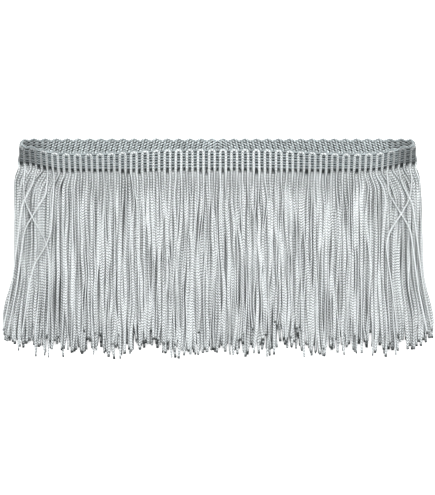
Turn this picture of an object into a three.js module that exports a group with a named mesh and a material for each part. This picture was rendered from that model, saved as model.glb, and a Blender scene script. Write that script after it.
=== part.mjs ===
// Chainette fringe trim: a crocheted header tape with cord strands hanging from its lower edge.
// The cut length lies flat on a surface as one long loop. Its front layer rests on its back layer,
// the tape turns back on itself at both ends, and its two cut ends meet in the middle of the back.
// Millimetres. +X runs along the tape, +Y from the strand tips to the tape, +Z up from the surface.
import * as THREE from "three";

// Tape
const HALF_WIDTH = 123.2; // middle of the loop to the outside of a turn
const TAPE_HEIGHT = 12.2;
const TAPE_THICKNESS = 1.6; // crocheted ground, without the cord on its face
const RIB_HEIGHT = 0.7; // cord legs, raised on the tape's face
const BACK_SHIFT = 6.1; // how much further up the back layer lies than the front layer
const BUTT_GAP = 0.8; // between the tape's two cut ends
const CORD_LOOPS = 36; // cord loops in each half of the tape, two legs to a loop
const LEG_TOP = 0.7; // share of the tape's height where a leg starts to bend into its arch
const ARCH_TOP = 0.87; // share of the tape's height at the crest of an arch
const LEG_BEND = 0.6; // share of its relief that a leg keeps at the crest of its arch
const SCALLOP_FOOT = 0.93; // share of the tape's height that the dips between scallops reach

// The strip that a layer's strands are rooted in
const SEAM_GAP = 0.45; // between the tape and the strip
const STRIP_HEIGHT = 1.6;
const ROW_GAP = 0.3; // between the roots of the face row and those of the reverse row
const STRIP_PARTING = 1.4; // of run, from the outside of a turn to the end of each strip

// Strands, which are four-sided and narrower at the top
const STRAND_WIDTH = 1.8;
const STRAND_TOP_WIDTH = 1;
const STRAND_HEIGHT = 1.3;
const BACK_LENGTH = 117; // tape's lower edge to the tips of the back layer's strands
const BACK_CORNER = 6; // how much shorter those strands are at the corners
const BACK_CORNER_FROM = 104; // middle of the loop to where they start to be shorter
const BACK_CORNER_TO = 124;
const STEPS_DOWN = [0.1, 0.38, 0.7, 1]; // where a strand bends, as shares of its length

// How the strands lie. FROM and TO are distances along the tape from its middle, and DEPTH is a
// share of a strand's length.
const SPREAD = 3.4; // how far the outermost strands spread past the turns
const SPREAD_FROM = 75;
const SPREAD_TO = 102;
const SPREAD_DEPTH = 0.12;
const FLARE = 8.5; // how much further their tips spread
const FLARE_FROM = 80;
const FLARE_TO = 123;
const FLARE_START_DEPTH = 0.4;
const FLARE_END_DEPTH = 1.05;
const BUNCH_SHIFT = 0.65; // how far a strand moves into its bunch
const BUNCH_LENGTH = 2.7; // along the tape, for each radian of the bunches' wave
const BUNCH_DRIFT = 1.5; // radians that the bunches' wave moves on from the roots to the tips
const BUNCH_DEPTH = 0.35;
const WAVE = 0.3; // how far a strand waves about its own line
const WAVE_STEP = 1.9; // radians between the waves of strands that hang 1 apart
const WAVE_TURN = 1.4 * Math.PI; // radians of the wave from a strand's root to its tip

// Two ripples that cut the strands' tips to uneven lengths. step is in radians for each leg of cord.
const RIPPLES = [
  { height: 1.5, step: 5.1, phases: 1 },
  { height: 1.1, step: 2.3, phases: 2 },
];

// Heights above the surface of the two rows of strands in each layer
const BACK_LEVELS = { face: 0, reverse: 1.5 };
const FRONT_LEVELS = { face: 4.6, reverse: 3.1 };
const STRAY_LEVEL = 6.2;

// The tape's lower edge on the front layer, a row for each section from the middle to a turn.
// lean is how steeply the tape stands up from its lower edge, in degrees.
const FRONT_SECTIONS = [
  { x: 0, y: 0, z: 4, lean: 0 },
  { x: 24, y: -0.1, z: 4, lean: 2 },
  { x: 52, y: -0.5, z: 4.7, lean: 23 },
  { x: 74, y: -0.4, z: 5.2, lean: 36 },
  { x: 96, y: 0, z: 5.4, lean: 38 },
  { x: 106, y: 1.5, z: 5.4, lean: 38 },
  { x: 118, y: 3.6, z: 5.4, lean: 38 },
];

// The hem of the front layer, a row for each place from the middle to a turn.
const HEM = [
  { x: 0, below: 114.3 },
  { x: 32, below: 114.9 },
  { x: 38, below: 107.6 },
  { x: 45, below: 107.4 },
  { x: 54, below: 114.6 },
  { x: 64, below: 116.2 },
  { x: 74, below: 113 },
  { x: 92, below: 114.9 },
  { x: 102, below: 114.6 },
  { x: 114, below: 109.3 },
  { x: 126, below: 103 },
];

// Strands that cross over their neighbours near a turn, a row for each bend of the cord leg's strand.
const STRAYS = [
  { leg: 30.5, x: 106.5, below: 16 },
  { leg: 30.5, x: 120, below: 38 },
  { leg: 30.5, x: 125, below: 76 },
  { leg: 30.5, x: 130.5, below: 103 },
  { leg: 32.5, x: 114.5, below: 9 },
  { leg: 32.5, x: 121.5, below: 23 },
  { leg: 32.5, x: 127.5, below: 72 },
  { leg: 32.5, x: 133.3, below: 101 },
];

const INNER = TAPE_THICKNESS / 2; // middle of the tape to its reverse
const OUTER = TAPE_THICKNESS / 2 + RIB_HEIGHT; // middle of the tape to the crest of its ribs
const BACK_Z = OUTER; // the back layer lies face down on the surface
const MIDDLE = TAPE_HEIGHT / 2;
const END = FRONT_SECTIONS.at(-1);
const END_LEAN = THREE.MathUtils.degToRad(END.lean);

const clamp01 = (value) => Math.min(1, Math.max(0, value));

function smooth(from, to, value) {
  const t = clamp01((value - from) / (to - from));
  return t * t * (3 - 2 * t);
}

// A column of a table at any x, on a smooth curve through its rows that is level at both ends.
function column(table, name, x) {
  const last = table.length - 1;
  let i = 0;
  while (i < last - 1 && x > table[i + 1].x) i += 1;
  const [from, to] = [table[i], table[i + 1]];
  const slope = (k) => {
    if (k === 0 || k === last) return 0;
    return (table[k + 1][name] - table[k - 1][name]) / (table[k + 1].x - table[k - 1].x);
  };
  const span = to.x - from.x;
  const t = clamp01((x - from.x) / span);
  const rise = t * t * (3 - 2 * t);
  const leaving = slope(i) * span * t * (1 - t) * (1 - t);
  const arriving = slope(i + 1) * span * t * t * (t - 1);
  return from[name] + (to[name] - from[name]) * rise + leaving + arriving;
}

// A turn is wider at the tape's upper edge than at its lower edge. h is a height on the tape.
const turnRadius = (h) => (END.z + h * Math.sin(END_LEAN) - BACK_Z) / 2;
const turnStart = (h) => HALF_WIDTH - OUTER - turnRadius(h);

// Runs are lengths along the tape from the middle of the front layer, negative to the left.
const FRONT_RUN = turnStart(MIDDLE);
const TURN_RUN = Math.PI * turnRadius(MIDDLE);
const HALF_RUN = 2 * FRONT_RUN + TURN_RUN; // to the middle of the back layer
const QUARTER_RUN = HALF_RUN / 2; // to the outside of a turn
const LEG_PITCH = HALF_RUN / CORD_LOOPS / 2;

// The middle of the tape's thickness.
function tapeMiddle(anyRun, h) {
  const run = anyRun > HALF_RUN ? anyRun - 2 * HALF_RUN : anyRun;
  const side = run < 0 ? -1 : 1;
  const along = Math.abs(run);
  const stretch = turnStart(h) / FRONT_RUN;
  if (along <= FRONT_RUN) {
    const lean = THREE.MathUtils.degToRad(column(FRONT_SECTIONS, "lean", along));
    const y = column(FRONT_SECTIONS, "y", along) + h * Math.cos(lean);
    const z = column(FRONT_SECTIONS, "z", along) + h * Math.sin(lean);
    return new THREE.Vector3(side * along * stretch, y, z);
  }
  if (along >= FRONT_RUN + TURN_RUN) {
    return new THREE.Vector3(side * (HALF_RUN - along) * stretch, BACK_SHIFT + h, BACK_Z);
  }
  const angle = ((along - FRONT_RUN) / TURN_RUN) * Math.PI;
  const x = turnStart(h) + turnRadius(h) * Math.sin(angle);
  const yFront = END.y + h * Math.cos(END_LEAN);
  const y = THREE.MathUtils.lerp(yFront, BACK_SHIFT + h, (1 - Math.cos(angle)) / 2);
  return new THREE.Vector3(side * x, y, BACK_Z + turnRadius(h) * (1 + Math.cos(angle)));
}

// A point on the tape, out from the middle of its thickness towards its face.
function tapePoint(run, h, out) {
  const step = 0.05;
  const along = tapeMiddle(run + step, h).sub(tapeMiddle(run - step, h));
  const up = tapeMiddle(run, h + step).sub(tapeMiddle(run, h - step));
  return tapeMiddle(run, h).addScaledVector(along.cross(up).normalize(), out);
}

function solidOf(points, index) {
  const geometry = new THREE.BufferGeometry().setFromPoints(points);
  geometry.setIndex(index);
  return geometry;
}

// The faces that close the first and the last of a solid's rings of points.
function endFaces(size, last) {
  const index = [];
  for (let i = 0; i < size - 2; i++) {
    index.push(size - 1, i, i + 1, last + size - 1, last + i + 1, last + i);
  }
  return index;
}

// A closed solid through rings of points. Seen from the last ring, each ring runs clockwise.
function loft(rings) {
  const size = rings[0].length;
  const last = (rings.length - 1) * size;
  const index = endFaces(size, last);
  for (let start = 0; start < last; start += size) {
    for (let i = 0; i < size; i++) {
      const next = (i + 1) % size;
      const [a, b, c, d] = [start + i, start + next, start + size + next, start + size + i];
      index.push(a, c, b, a, d, c);
    }
  }
  return solidOf(rings.flat(), index);
}

// A section across the tape. leg is 1 on the crest of a leg of cord and 0 between two legs. arch is
// 1 where the cord arches over from one leg of its loop to the other.
function tapeRing(run, leg, arch) {
  const crest = INNER + RIB_HEIGHT * leg;
  const bend = INNER + RIB_HEIGHT * Math.max(LEG_BEND * leg, arch);
  const top = TAPE_HEIGHT * (leg || arch ? 1 : SCALLOP_FOOT);
  return [
    tapePoint(run, 0, crest),
    tapePoint(run, LEG_TOP * TAPE_HEIGHT, crest),
    tapePoint(run, ARCH_TOP * TAPE_HEIGHT, bend),
    tapePoint(run, top, INNER / 2),
    tapePoint(run, top, -INNER),
    tapePoint(run, 0, -INNER),
  ];
}

function tapeGeometry() {
  const end = HALF_RUN - BUTT_GAP / 2;
  const rings = [tapeRing(-end, 0, 0)];
  for (let leg = -2 * CORD_LOOPS; leg < 2 * CORD_LOOPS; leg++) {
    const inLoop = leg % 2 === 0;
    rings.push(tapeRing((leg + 0.5) * LEG_PITCH, 1, 0));
    if (leg < 2 * CORD_LOOPS - 1) rings.push(tapeRing((leg + 1) * LEG_PITCH, 0, inLoop ? 1 : 0));
  }
  rings.push(tapeRing(end, 0, 0));
  return loft(rings);
}

// How far a strand lies to the side of its root, t being the share of its length down to there.
// The fringe spreads past the turns, flares at its corners and gathers into bunches.
function sideways(x, t, phase) {
  const spread = SPREAD * smooth(SPREAD_FROM, SPREAD_TO, x) * smooth(0, SPREAD_DEPTH, t);
  const corner = clamp01((x - FLARE_FROM) / (FLARE_TO - FLARE_FROM)) ** 2;
  const flare = FLARE * corner * smooth(FLARE_START_DEPTH, FLARE_END_DEPTH, t);
  const bunching = Math.sin(x / BUNCH_LENGTH + phase + BUNCH_DRIFT * t) * smooth(0, BUNCH_DEPTH, t);
  const bunch = BUNCH_SHIFT * bunching;
  const wave = WAVE * Math.sin(WAVE_STEP * x + phase) * Math.sin(WAVE_TURN * t);
  return spread + flare + bunch + wave;
}

// How much above or below the hem a strand is cut.
function ragged(leg, phase) {
  const heights = RIPPLES.map(({ height, step, phases }) => height * Math.sin(step * leg + phases * phase));
  return heights.reduce((sum, height) => sum + height, 0);
}

// The places along the middle of a strand's underside on the right half. leg says where it hangs, in
// legs from the middle of its layer.
function strandPlaces(layer, leg, row) {
  const level = layer.levels[row];
  const bends = layer.strays.filter((bend) => bend.leg === leg);
  if (bends.length) return bends.map(({ x, below }) => new THREE.Vector3(x, -below, STRAY_LEVEL));
  const x = leg * LEG_PITCH;
  const edge = layer.edge(x);
  const tip = layer.hem(x) + ragged(leg, level);
  return STEPS_DOWN.map((t) => {
    const y = THREE.MathUtils.lerp(edge, tip, t);
    return new THREE.Vector3(x + sideways(x, t, level), y, level);
  });
}

// The corners of a strand's section at one of its places, from its lower left round to its upper left.
function strandSection(places, k) {
  const [before, after] = [places[Math.max(0, k - 1)], places[Math.min(places.length - 1, k + 1)]];
  const across = new THREE.Vector3(before.y - after.y, after.x - before.x, 0).normalize();
  const corner = (width, up) => places[k].clone().addScaledVector(across, width / 2).setZ(places[k].z + up);
  return [
    corner(-STRAND_WIDTH, 0),
    corner(STRAND_WIDTH, 0),
    corner(STRAND_TOP_WIDTH, STRAND_HEIGHT),
    corner(-STRAND_TOP_WIDTH, STRAND_HEIGHT),
  ];
}

// A layer's fringe in one solid: the strip just below the tape, as thick as the tape is with its
// ribs, and the strands, each grown from a part of the strip's lower face. Strands of the face row
// hang from the legs of the cord, and strands of the reverse row from between two legs.
function fringeGeometry(layer) {
  const points = [];
  const [low, high] = [-SEAM_GAP - STRIP_HEIGHT, -SEAM_GAP];
  const rowMiddle = (OUTER - INNER) / 2;
  const outs = [-INNER, rowMiddle - ROW_GAP / 2, rowMiddle + ROW_GAP / 2, OUTER];
  const section = (run) => [
    ...outs.map((out) => tapePoint(run, low, out)),
    tapePoint(run, high, OUTER),
    tapePoint(run, high, -INNER),
  ];
  const size = outs.length + 2;

  // Each bay of the strip, half a leg wide, bears one strand on one side of the gap between the rows.
  const bays = 4 * CORD_LOOPS - 1;
  const end = QUARTER_RUN - STRIP_PARTING;
  for (let bay = 0; bay <= bays; bay++) {
    const offset = ((bay - bays / 2) / 2) * LEG_PITCH;
    points.push(...section(layer.middleRun + THREE.MathUtils.clamp(offset, -end, end)));
  }
  const index = endFaces(size, bays * size);
  const quad = (a, b, c, d) => index.push(a, b, c, a, c, d);

  for (let bay = 0; bay < bays; bay++) {
    const row = bay % 2 === 0 ? "face" : "reverse";
    const rooted = row === "face" ? 2 : 0; // the side of the section that the strand grows from
    const start = bay * size;
    for (let side = 0; side < size; side++) {
      const next = (side + 1) % size;
      if (side !== rooted) quad(start + side, start + size + side, start + size + next, start + next);
    }
    const leg = ((bay - (bays - 1) / 2) / 2) * layer.rightwards;
    const places = strandPlaces(layer, Math.abs(leg), row);
    if (leg < 0) places.forEach((place) => (place.x *= -1));
    const turned = layer.rightwards > 0 ? [0, 1, 2, 3] : [2, 3, 0, 1];
    let ring = [rooted, size + rooted, size + rooted + 1, rooted + 1].map((i) => start + i);
    places.forEach((_, k) => {
      const corners = strandSection(places, k);
      const from = points.length;
      points.push(...turned.map((i) => corners[i]));
      const nextRing = [from, from + 1, from + 2, from + 3];
      ring.forEach((a, i) => quad(a, ring[(i + 1) % 4], nextRing[(i + 1) % 4], nextRing[i]));
      ring = nextRing;
    });
    quad(...ring);
  }
  return solidOf(points, index);
}

const FRONT = {
  middleRun: 0,
  rightwards: 1, // runs grow to the right here
  levels: FRONT_LEVELS,
  strays: STRAYS,
  edge: (x) => column(FRONT_SECTIONS, "y", x),
  hem: (x) => -column(HEM, "below", x),
};

const BACK = {
  middleRun: HALF_RUN,
  rightwards: -1,
  levels: BACK_LEVELS,
  strays: [],
  edge: () => BACK_SHIFT,
  hem: (x) => BACK_SHIFT - BACK_LENGTH + BACK_CORNER * smooth(BACK_CORNER_FROM, BACK_CORNER_TO, x),
};

function piece(name, geometry, material) {
  const mesh = new THREE.Mesh(geometry, material);
  mesh.name = name;
  return mesh;
}

const TAPE_YARN = new THREE.MeshStandardMaterial({ color: 0x9ea8aa, roughness: 0.6, metalness: 0 });
const FRONT_CORD = new THREE.MeshStandardMaterial({ color: 0xd5dada, roughness: 0.45, metalness: 0 });
const BACK_CORD = new THREE.MeshStandardMaterial({ color: 0xc6cdce, roughness: 0.45, metalness: 0 });

const trim = new THREE.Group();
trim.add(
  piece("header_tape", tapeGeometry(), TAPE_YARN),
  piece("fringe_front", fringeGeometry(FRONT), FRONT_CORD),
  piece("fringe_back", fringeGeometry(BACK), BACK_CORD),
);

// The origin is on the surface, below the middle of the whole trim.
const extent = new THREE.Box3().setFromObject(trim);
trim.position.y = -(extent.min.y + extent.max.y) / 2;

export default trim;
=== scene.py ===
import math
from typing import Callable, NamedTuple

import bpy
import numpy as np
from bpy.props import FloatProperty, FloatVectorProperty, IntProperty, PointerProperty
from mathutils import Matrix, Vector


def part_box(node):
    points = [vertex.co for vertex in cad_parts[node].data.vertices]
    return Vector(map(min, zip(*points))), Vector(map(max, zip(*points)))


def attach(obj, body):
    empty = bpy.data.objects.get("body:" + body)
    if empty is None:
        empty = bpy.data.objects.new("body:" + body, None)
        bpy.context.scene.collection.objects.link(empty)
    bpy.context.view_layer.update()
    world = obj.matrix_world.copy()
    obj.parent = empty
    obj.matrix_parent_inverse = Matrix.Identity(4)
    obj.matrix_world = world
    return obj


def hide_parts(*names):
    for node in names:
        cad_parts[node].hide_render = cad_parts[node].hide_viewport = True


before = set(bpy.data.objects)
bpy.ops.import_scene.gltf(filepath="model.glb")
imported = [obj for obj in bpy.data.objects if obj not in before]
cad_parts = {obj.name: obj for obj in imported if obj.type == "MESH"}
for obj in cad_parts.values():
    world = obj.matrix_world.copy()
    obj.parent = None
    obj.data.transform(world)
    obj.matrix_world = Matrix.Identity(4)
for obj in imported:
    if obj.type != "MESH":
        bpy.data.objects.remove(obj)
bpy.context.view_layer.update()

bl_info = {
    "name": "Chainette Fringe Trim",
    "version": (1, 0, 0),
    "blender": (4, 5, 0),
    "location": "3D View > Sidebar > Fringe Trim",
    "description": "Dresses a chainette fringe trim with its real yarns, stitches and cords",
    "category": "Add Mesh",
}

MM = 0.001  # every size below is in millimetres, and Blender's are in metres
TWO_PI = 2 * math.pi

# The trim's own dimensions, the same as in the part's source.
HALF_WIDTH = 123.2
TAPE_HEIGHT = 12.2
TAPE_THICKNESS = 1.6
RIB_HEIGHT = 0.7
BACK_SHIFT = 6.1
CORD_LOOPS = 36  # in each half of the tape
BACK_LENGTH = 117
BACK_CORNER = 6
BACK_CORNER_FROM = 104
BACK_CORNER_TO = 124
STRAND_HEIGHT = 1.3
SPREAD = 3.4
SPREAD_FROM = 75
SPREAD_TO = 102
SPREAD_DEPTH = 0.12
FLARE_FROM = 80
FLARE_TO = 123
BUNCH_SHIFT = 0.65
BUNCH_LENGTH = 2.7
BUNCH_DRIFT = 1.5
BUNCH_DEPTH = 0.35
WAVE = 0.3
WAVE_STEP = 1.9
WAVE_TURN = 1.4 * math.pi
RIPPLES = [
    {"height": 1.5, "step": 5.1, "phases": 1},
    {"height": 1.1, "step": 2.3, "phases": 2},
]
STRAY_LEVEL = 6.2

# The tape's lower edge on the front layer, and how steeply the tape stands up from it, in degrees.
FRONT_SECTIONS = {
    "x": [0, 24, 52, 74, 96, 106, 118],
    "y": [0, -0.1, -0.5, -0.4, 0, 1.5, 3.6],
    "z": [4, 4, 4.7, 5.2, 5.4, 5.4, 5.4],
    "lean": [0, 2, 23, 36, 38, 38, 38],
}
HEM = {
    "x": [0, 32, 38, 45, 54, 64, 74, 92, 102, 114, 126],
    "below": [114.3, 114.9, 107.6, 107.4, 114.6, 116.2, 113, 114.9, 114.6, 109.3, 103],
}

INNER = TAPE_THICKNESS / 2
OUTER = TAPE_THICKNESS / 2 + RIB_HEIGHT
BACK_Z = OUTER
MIDDLE = TAPE_HEIGHT / 2
END = {name: values[-1] for name, values in FRONT_SECTIONS.items()}
END_LEAN = math.radians(END["lean"])


def turn_radius(h):
    """Radius of a turn of the tape at height h on it."""
    return (END["z"] + h * math.sin(END_LEAN) - BACK_Z) / 2


FRONT_RUN = HALF_WIDTH - OUTER - turn_radius(MIDDLE)
TURN_RUN = math.pi * turn_radius(MIDDLE)
HALF_RUN = 2 * FRONT_RUN + TURN_RUN
LEG_PITCH = HALF_RUN / CORD_LOOPS / 2

# A turn is an oval, finer than the part's half circle.
TURN_INSET = 2.9  # from the outside of the part's turn to where the tape leaves a layer
TURN_X = HALF_WIDTH - OUTER - TURN_INSET
TURN_REACH = 3.5  # from there to where the tape stands on edge
TURN_BELL = 1.4  # how much farther its lower edge reaches
BELL_HEIGHTS = (6, -1)  # on the tape, where it starts to and where it does in full

# The frame's origin is below the middle of the trim, and the tables' is on the tape's lower edge.
SHIFT_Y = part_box("header_tape")[1].y / MM - BACK_SHIFT - TAPE_HEIGHT


# Numbers and curves


def smooth(start, stop, value):
    """From 0 at start to 1 at stop, level at both ends."""
    t = np.clip((value - start) / (stop - start), 0, 1)
    return t * t * (3 - 2 * t)


def mix(a, b, share):
    """From a to b."""
    return a + (b - a) * share


def column(table, name, x):
    """A table's column at x, on a smooth curve through its rows that is level at both ends."""
    xs, ys = np.array(table["x"], float), np.array(table[name], float)
    slopes = np.zeros(len(xs))
    slopes[1:-1] = (ys[2:] - ys[:-2]) / (xs[2:] - xs[:-2])
    i = np.searchsorted(xs[1:-1], x)
    span = xs[i + 1] - xs[i]
    t = np.clip((x - xs[i]) / span, 0, 1)
    leaving = slopes[i] * span * t * (1 - t) ** 2
    arriving = slopes[i + 1] * span * t**2 * (t - 1)
    return mix(ys[i], ys[i + 1], t * t * (3 - 2 * t)) + leaving + arriving


def bell(curve, x):
    """A bell curve of x, from a table of its height, its peak and its width."""
    return curve["shift"] * np.exp(-(((x - curve["peak"]) / curve["width"]) ** 2))


def unit(vectors):
    """Vectors brought to a length of 1."""
    return vectors / np.maximum(np.linalg.norm(vectors, axis=-1, keepdims=True), 1e-9)


# The tape's surface. A run is a length along the tape from the middle of the front layer.


def tape_middle(run, h):
    """The middle of the tape's thickness."""
    run, h = np.broadcast_arrays(np.asarray(run, float), np.asarray(h, float))
    run = (run + HALF_RUN) % (2 * HALF_RUN) - HALF_RUN
    side = np.where(run < 0, -1.0, 1.0)
    along = np.abs(run)
    lean = np.radians(column(FRONT_SECTIONS, "lean", along))
    front = np.stack(
        [
            along * TURN_X / FRONT_RUN,
            column(FRONT_SECTIONS, "y", along) + h * np.cos(lean),
            column(FRONT_SECTIONS, "z", along) + h * np.sin(lean),
        ],
        -1,
    )
    angle = np.clip((along - FRONT_RUN) / TURN_RUN, 0, 1) * math.pi
    y_front = END["y"] + h * math.cos(END_LEAN)
    turn = np.stack(
        [
            TURN_X + (TURN_REACH + TURN_BELL * smooth(*BELL_HEIGHTS, h)) * np.sin(angle),
            mix(y_front, BACK_SHIFT + h, (1 - np.cos(angle)) / 2),
            BACK_Z + turn_radius(h) * (1 + np.cos(angle)),
        ],
        -1,
    )
    back_x = (HALF_RUN - along) * TURN_X / FRONT_RUN
    back = np.stack([back_x, BACK_SHIFT + h, np.full_like(h, BACK_Z)], -1)
    on_front = (along <= FRONT_RUN)[..., None]
    on_back = (along >= FRONT_RUN + TURN_RUN)[..., None]
    point = np.where(on_front, front, np.where(on_back, back, turn))
    point[..., 0] *= side
    return point


def tape_normal(run, h):
    """Out of the tape's face."""
    step = 0.05
    along = tape_middle(run + step, h) - tape_middle(run - step, h)
    up = tape_middle(run, h + step) - tape_middle(run, h - step)
    return unit(np.cross(along, up))


def tape_point(run, h, out):
    """A point so far out from the middle of the tape's thickness."""
    return tape_middle(run, h) + tape_normal(run, h) * np.asarray(out, float)[..., None]


# Yarns as meshes


class Form(NamedTuple):
    """A closed mesh: its points, its faces of four sides, its end faces and its points' marks."""

    vertices: np.ndarray
    quads: np.ndarray
    caps: np.ndarray
    marks: dict


def batch(points, ups, half_width, half_height, roll=0.0, **marks):
    """Yarns to sweep, as arrays (yarn, ring): their middle lines, which way their faces look, half
    their size across and through, how far they are rolled over, and marks for the finishes."""
    shape = points.shape[:2]
    return {
        "points": points,
        "ups": np.broadcast_to(ups, points.shape),
        "half_width": np.broadcast_to(half_width, shape),
        "half_height": np.broadcast_to(half_height, shape),
        "roll": np.broadcast_to(roll, shape),
        "marks": {name: np.broadcast_to(value, shape) for name, value in marks.items()},
    }


def tube_faces(count, rings, corners):
    """The faces of tubes that have so many rings of so many corners, and those of their ends."""
    first = (np.arange(count) * rings * corners)[:, None, None]
    ring = (np.arange(rings - 1) * corners)[None, :, None]
    corner = np.arange(corners)[None, None, :]
    a, b = first + ring + corner, first + ring + (corner + 1) % corners
    quads = np.stack([a, a + corners, b + corners, b], -1).reshape(-1, 4)
    start = first[:, :, 0] + np.arange(corners)[None, :]
    caps = np.concatenate([start, (start + (rings - 1) * corners)[:, ::-1]])
    return quads, caps


GROOVE = 0.12  # how far a strand's face and reverse are drawn in along the middle
GROOVE_REACH = 0.1  # where that is, as a share of half the width
DARKENING = 1.5  # how fast a strand's painted shade deepens round to its inner side


def sweep(yarns, corners, groove=0.0):
    """Closed tubes along a batch of yarns, drawn in by groove along the middle of both sides."""
    points = yarns["points"]
    count, rings = points.shape[:2]
    tangents = unit(np.gradient(points, axis=1))
    across = unit(np.cross(tangents, yarns["ups"]))
    through = np.cross(across, tangents)
    angle = np.arange(corners) / corners * TWO_PI
    u, v = np.cos(angle), np.sin(angle)
    size = 1 - groove * (np.abs(u) < GROOVE_REACH)
    half_width, half_height = yarns["half_width"][..., None], yarns["half_height"][..., None]
    roll = yarns["roll"][..., None]
    wide, high = half_width * u * size, half_height * v * size
    cos, sin = np.cos(roll), np.sin(roll)
    normal_wide, normal_high = half_height * u, half_width * v
    upward = (normal_wide * sin + normal_high * cos) / np.hypot(normal_wide, normal_high)
    wide, high = wide * cos - high * sin, wide * sin + high * cos
    vertices = points[:, :, None] + across[:, :, None] * wide[..., None]
    vertices = vertices + through[:, :, None] * high[..., None]

    length = np.linalg.norm(np.diff(points, axis=1), axis=-1).cumsum(1)
    along = np.concatenate([np.zeros((count, 1)), length], 1)
    marks = {"along": along, **yarns["marks"]}
    marks = {name: np.repeat(value.reshape(-1), corners) for name, value in marks.items()}
    marks["across"] = np.tile(u, count * rings)
    # Painted shade: dark on a strand's inner side, and on its sides where it is pressed against its
    # neighbours.
    inner = np.tile(np.clip(-DARKENING * v, 0, 1), count * rings)
    sideways_on = (1 - np.abs(upward)).reshape(-1)
    marks["occlusion_shade"] = marks.get("occlusion_shade", 0) * inner + marks.get("crease_shade", 0) * sideways_on
    return Form(vertices.reshape(-1, 3), *tube_faces(count, rings, corners), marks)


def mesh_piece(name, forms, finish, slot, *nodes):
    """One piece made of these forms, in place on the trim, with its finish."""
    vertices = np.concatenate([form.vertices for form in forms])
    offsets = np.cumsum([0] + [len(form.vertices) for form in forms[:-1]])
    quads = np.concatenate([form.quads + offset for form, offset in zip(forms, offsets)])
    caps = [form.caps + offset for form, offset in zip(forms, offsets)]
    corners = np.concatenate([quads.reshape(-1)] + [c.reshape(-1) for c in caps])
    sizes = np.concatenate([np.full(len(quads), 4)] + [np.full(len(c), c.shape[1]) for c in caps])
    mesh = bpy.data.meshes.new(name)
    mesh.vertices.add(len(vertices))
    mesh.vertices.foreach_set("co", ((vertices + [0, SHIFT_Y, 0]) * MM).astype(np.float32).ravel())
    mesh.loops.add(len(corners))
    mesh.loops.foreach_set("vertex_index", corners.astype(np.int32))
    mesh.polygons.add(len(sizes))
    starts = np.concatenate([[0], np.cumsum(sizes)[:-1]])
    mesh.polygons.foreach_set("loop_start", starts.astype(np.int32))
    mesh.update(calc_edges=True)
    mesh.validate()
    for mark in forms[0].marks:
        values = np.concatenate([form.marks[mark] for form in forms]).astype(np.float32)
        mesh.attributes.new(mark, "FLOAT", "POINT").data.foreach_set("value", values)
    mesh.shade_smooth()
    mesh.materials.append(finish)
    piece = bpy.data.objects.new(name, mesh)
    bpy.context.scene.collection.objects.link(piece)
    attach(piece, "root")
    if nodes:
        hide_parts(*nodes)
    return piece


# How the strands lie. A strand goes by its leg: how many legs of cord its root is from the middle.

# Strands that cross over their neighbours near a turn: where they bend. Those in STRAY_OUTER and
# STRAY_INNER are the part's, and the others are finer than its bars.
STRAY_OUTER = {"x": [114.5, 121.5, 127.5, 133.3], "below": [9, 23, 72, 101]}
STRAY_INNER = {"x": [106.5, 120, 125, 130.5], "below": [16, 38, 76, 103]}
STRAYS = {
    -34.5: {
        "x": [120.5, 119.8, 114.9, 109, 105.5, 104.3, 104.9, 106.1],
        "below": [8, 20, 31, 41, 49, 60, 82, 106],
    },
    -32.5: STRAY_OUTER,
    -30.5: STRAY_INNER,
    -29.5: {
        "x": [101.5, 102.5, 103.5, 107, 113.6, 117, 119.2, 121.7],
        "below": [10, 25, 40, 49, 59, 72, 88, 105],
    },
    30.5: STRAY_INNER,
    32.5: STRAY_OUTER,
    34.5: {
        "x": [121.0, 119.6, 113.2, 106.6, 105.0, 105.6, 108.8, 112.4],
        "below": [7, 19, 30, 40, 48, 56, 76, 106],
    },
}
STRAY_ROUNDING = 12  # times that their bends are evened out
STRAY_WIDTH = 0.85  # how wide they are, against a leg
STRAY_GLEAM = 0.85  # how much brighter and plainer they are than those below

# Strands spread at the hem's corners, lower down and less far than the part's bars. What ends in
# _OVER is a stretch of a strand, as shares of its length.
FLARE = 6.7
FLARE_OVER = (0.6, 0.92)
# Waves that draw neighbouring strands together and apart. length is along the tape, and drift is
# how far the wave moves along it from the roots to the tips, in radians.
GATHERS = [
    {"length": 5.6, "shift": 0.07, "drift": 2.6},
    {"length": 9.3, "shift": 0.1, "drift": -2.1},
    {"length": 17.0, "shift": 0.22, "drift": 1.4},
    {"length": 41.0, "shift": 0.7, "drift": -0.9},
]
GATHER_SWING = 0.4  # how unevenly they drift
FAN = {"shift": 3.0, "peak": 12.0, "width": 9.0}  # strands lean away from the middle of the front
FAN_OVER = (0.05, 0.6)
SWOOP = {"shift": 7.5, "peak": 107.0, "width": 9.5}  # and towards the turns, close below the tape
SWOOP_OVER = (0.0, 0.2)
# How each strand wanders by itself.
WANDERS = [
    {"shift": (0.1, 1.15), "turns": (0.6, 1.6)},
    {"shift": (0.05, 0.4), "turns": (2.0, 4.2)},
]
CALM = 0.25  # how much of that is left to the outermost ones
CALM_BETWEEN = (110, 120)
HELD_OVER = (0.02, 0.22)  # where the tape lets go of a strand
TIP_BEND = 1.1  # how far a strand's tip bends sideways by chance
TIP_BEND_LIMITS = (-2, 2)
TIP_BEND_OVER = (0.85, 1.05)
LIFT = 0.45  # how far a strand rides over or under its neighbours
BACK_LIFT = LIFT / 4
LIFT_TURNS = (0.8, 2.2)
SETTLE_OVER = (0.0, 0.12)
RAGGED_ENDS = 1.2  # how much a strand's length varies by chance
RAGGED_LIMITS = (-2, 3)
SHORT_TO = (118, 105)  # from the first of these outwards no strand is cut well short
ROOT_BLEND = (0.4, 7.0)  # how far below the tape a strand leaves the tape's slope and lies level

LAST_RING = 0.992  # where the ring next to the cut end is, as a share of the length
LEG_GLEAM = 0.45  # how much brighter the cord is on the tape
LEG_OUT = mix(INNER, OUTER, 0.1)  # how far the middle of a leg is from the middle of the tape


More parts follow.
